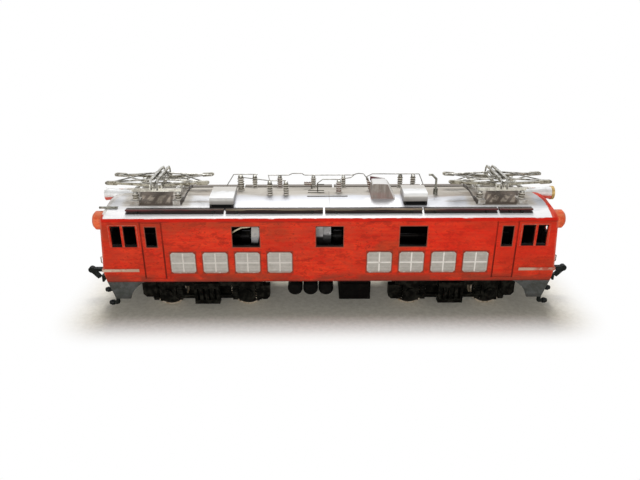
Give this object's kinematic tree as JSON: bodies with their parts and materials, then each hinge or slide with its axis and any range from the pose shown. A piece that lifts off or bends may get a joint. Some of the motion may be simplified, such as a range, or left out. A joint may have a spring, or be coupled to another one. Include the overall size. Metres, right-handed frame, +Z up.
{
  "type": "model electric locomotive",
  "caption": "Box-bodied model electric locomotive with pointed, rounded fronts, two swivelling bogies, a shaft drive and two folding diamond collectors on an arched roof.",
  "frame": {"origin": "on the rail head under the middle of the body", "axes": "+X along the track towards the end with bogie 2, +Y across the track, +Z up"},
  "size_m": [0.1978, 0.0358, 0.053],
  "materials": {
    "red_paint": "orange-red brushed enamel",
    "grille_silver": "silver-grey enamel over pressed slats",
    "roof_paint": "silver enamel, dusty along the middle",
    "maroon_paint": "dull maroon enamel",
    "skirt_paint": "mid grey enamel",
    "cream_paint": "cream enamel",
    "board_paint": "red-brown with worn dark edges",
    "black_paint": "satin black",
    "bogie_casting": "near-black casting",
    "steel": "bright turned steel",
    "shaft_plastic": "black acetal",
    "motor_grey": "light grey",
    "nickel": "nickel-plated strip, a little tarnished",
    "insulator_glaze": "glazed red-brown",
    "wire_metal": "dull wire",
    "brass": "turned brass",
    "lens": "clear pressed lens",
    "coupler_black": "black",
    "hose_rubber": "black"
  },
  "bodies": {
    "body": {"air_tanks": "black_paint", "body_screws": "steel", "body_shell": "red_paint", "bogie_pivots": "steel", "box_ventilators": "roof_paint", "brake_hoses": "hose_rubber", "circuit_breaker": "insulator_glaze", "collector_base_1": "nickel", "collector_base_2": "nickel", "corner_lamp_housings": "red_paint", "coupler_boxes": "black_paint", "end_skirts": "skirt_paint", "end_steps": "black_paint", "equipment_box": "black_paint", "handrails": "steel", "headlamp_bezels": "brass", "headlamp_casings": "roof_paint", "lamp_lenses": "lens", "motor_bearings": "motor_grey", "motor_case": "motor_grey", "quarter_hood": "maroon_paint", "roof": "roof_paint", "roof_insulators": "insulator_glaze", "roof_pads": "black_paint", "roof_pipes": "black_paint", "roof_wires": "wire_metal", "running_boards": "board_paint", "side_grilles": "grille_silver", "underframe": "black_paint", "waist_stripes": "cream_paint", "window_frames": "cream_paint"},
    "bogie_1": {"bogie_frame_1": "bogie_casting", "side_frames_1": "bogie_casting", "keeper_plate_1": "bogie_casting", "gear_tower_1": "bogie_casting"},
    "wheels_1_inner": {"wheelset_1_inner": "steel"},
    "wheels_1_outer": {"wheelset_1_outer": "steel"},
    "worm_1": {"worm_shaft_1": "shaft_plastic"},
    "cardan_1": {"cardan_shaft_1": "shaft_plastic"},
    "hook_1": {"coupler_1": "coupler_black"},
    "lower_1a": {"lower_arm_1a": "nickel"},
    "upper_1a": {"upper_arm_1a": "nickel"},
    "lower_1b": {"lower_arm_1b": "nickel"},
    "upper_1b": {"upper_arm_1b": "nickel"},
    "head_1": {"collector_head_1": "nickel"},
    "bogie_2": {"bogie_frame_2": "bogie_casting", "side_frames_2": "bogie_casting", "keeper_plate_2": "bogie_casting", "gear_tower_2": "bogie_casting"},
    "wheels_2_inner": {"wheelset_2_inner": "steel"},
    "wheels_2_outer": {"wheelset_2_outer": "steel"},
    "worm_2": {"worm_shaft_2": "shaft_plastic"},
    "cardan_2": {"cardan_shaft_2": "shaft_plastic"},
    "hook_2": {"coupler_2": "coupler_black"},
    "lower_2a": {"lower_arm_2a": "nickel"},
    "upper_2a": {"upper_arm_2a": "nickel"},
    "lower_2b": {"lower_arm_2b": "nickel"},
    "upper_2b": {"upper_arm_2b": "nickel"},
    "head_2": {"collector_head_2": "nickel"},
    "armature": {"motor_armature": "shaft_plastic"}
  },
  "joints": [
    {"name": "motor_spin", "type": "hinge", "parent": "body", "child": "armature", "pos_m": [-0.01485, 0, 0.0262], "axis": [1, 0, 0], "continuous": true},
    {"name": "bogie_turn_1", "type": "hinge", "parent": "body", "child": "bogie_1", "pos_m": [-0.048, 0, 0.0168], "axis": [0, 0, 1], "range_deg": [-5, 5]},
    {"name": "axle_1_inner", "type": "hinge", "parent": "bogie_1", "child": "wheels_1_inner", "pos_m": [-0.03238, 0, 0.0072], "axis": [0, 1, 0], "continuous": true},
    {"name": "axle_1_outer", "type": "hinge", "parent": "bogie_1", "child": "wheels_1_outer", "pos_m": [-0.06363, 0, 0.0072], "axis": [0, 1, 0], "continuous": true},
    {"name": "worm_spin_1", "type": "hinge", "parent": "bogie_1", "child": "worm_1", "pos_m": [-0.06, 0, 0.0262], "axis": [1, 0, 0], "continuous": true},
    {"name": "cardan_spin_1", "type": "hinge", "parent": "body", "child": "cardan_1", "pos_m": [-0.0384, 0, 0.0262], "axis": [1, 0, 0], "continuous": true},
    {"name": "coupler_swing_1", "type": "hinge", "parent": "body", "child": "hook_1", "pos_m": [-0.0815, 0, 0.0116], "axis": [0, 0, 1], "range_deg": [-10, 10]},
    {"name": "collector_raise_1", "type": "hinge", "parent": "body", "child": "lower_1a", "pos_m": [-0.0634, 0, 0.04951], "axis": [0, -1, 0], "range_deg": [0, 55]},
    {"name": "lower_arm_b_1", "type": "hinge", "parent": "body", "child": "lower_1b", "pos_m": [-0.0666, 0, 0.04951], "axis": [0, 1, 0], "range_deg": [0, 55]},
    {"name": "knee_a_1", "type": "hinge", "parent": "lower_1a", "child": "upper_1a", "pos_m": [-0.04613, 0, 0.05044], "axis": [0, 1, 0], "range_deg": [0, 110]},
    {"name": "knee_b_1", "type": "hinge", "parent": "lower_1b", "child": "upper_1b", "pos_m": [-0.08387, 0, 0.05044], "axis": [0, -1, 0], "range_deg": [0, 110]},
    {"name": "head_level_1", "type": "hinge", "parent": "upper_1a", "child": "head_1", "pos_m": [-0.0634, 0, 0.05138], "axis": [0, -1, 0], "range_deg": [0, 55]},
    {"name": "bogie_turn_2", "type": "hinge", "parent": "body", "child": "bogie_2", "pos_m": [0.048, 0, 0.0168], "axis": [0, 0, 1], "range_deg": [-5, 5]},
    {"name": "axle_2_inner", "type": "hinge", "parent": "bogie_2", "child": "wheels_2_inner", "pos_m": [0.03238, 0, 0.0072], "axis": [0, 1, 0], "continuous": true},
    {"name": "axle_2_outer", "type": "hinge", "parent": "bogie_2", "child": "wheels_2_outer", "pos_m": [0.06363, 0, 0.0072], "axis": [0, 1, 0], "continuous": true},
    {"name": "worm_spin_2", "type": "hinge", "parent": "bogie_2", "child": "worm_2", "pos_m": [0.06, 0, 0.0262], "axis": [1, 0, 0], "continuous": true},
    {"name": "cardan_spin_2", "type": "hinge", "parent": "body", "child": "cardan_2", "pos_m": [0.0384, 0, 0.0262], "axis": [1, 0, 0], "continuous": true},
    {"name": "coupler_swing_2", "type": "hinge", "parent": "body", "child": "hook_2", "pos_m": [0.0815, 0, 0.0116], "axis": [0, 0, 1], "range_deg": [-10, 10]},
    {"name": "collector_raise_2", "type": "hinge", "parent": "body", "child": "lower_2a", "pos_m": [0.0666, 0, 0.04951], "axis": [0, -1, 0], "range_deg": [0, 55]},
    {"name": "lower_arm_b_2", "type": "hinge", "parent": "body", "child": "lower_2b", "pos_m": [0.0634, 0, 0.04951], "axis": [0, 1, 0], "range_deg": [0, 55]},
    {"name": "knee_a_2", "type": "hinge", "parent": "lower_2a", "child": "upper_2a", "pos_m": [0.08387, 0, 0.05044], "axis": [0, 1, 0], "range_deg": [0, 110]},
    {"name": "knee_b_2", "type": "hinge", "parent": "lower_2b", "child": "upper_2b", "pos_m": [0.04613, 0, 0.05044], "axis": [0, -1, 0], "range_deg": [0, 110]},
    {"name": "head_level_2", "type": "hinge", "parent": "upper_2a", "child": "head_2", "pos_m": [0.0666, 0, 0.05138], "axis": [0, -1, 0], "range_deg": [0, 55]}
  ],
  "couplings": [
    {"joint": "axle_1_inner", "follows": "motor_spin", "ratio": 0.066667},
    {"joint": "axle_1_outer", "follows": "motor_spin", "ratio": 0.066667},
    {"joint": "worm_spin_1", "follows": "motor_spin", "ratio": 1},
    {"joint": "cardan_spin_1", "follows": "motor_spin", "ratio": 1},
    {"joint": "lower_arm_b_1", "follows": "collector_raise_1", "ratio": 1},
    {"joint": "knee_a_1", "follows": "collector_raise_1", "ratio": 2},
    {"joint": "knee_b_1", "follows": "collector_raise_1", "ratio": 2},
    {"joint": "head_level_1", "follows": "collector_raise_1", "ratio": 1},
    {"joint": "axle_2_inner", "follows": "motor_spin", "ratio": 0.066667},
    {"joint": "axle_2_outer", "follows": "motor_spin", "ratio": 0.066667},
    {"joint": "worm_spin_2", "follows": "motor_spin", "ratio": 1},
    {"joint": "cardan_spin_2", "follows": "motor_spin", "ratio": 1},
    {"joint": "lower_arm_b_2", "follows": "collector_raise_2", "ratio": 1},
    {"joint": "knee_a_2", "follows": "collector_raise_2", "ratio": 2},
    {"joint": "knee_b_2", "follows": "collector_raise_2", "ratio": 2},
    {"joint": "head_level_2", "follows": "collector_raise_2", "ratio": 1}
  ]
}
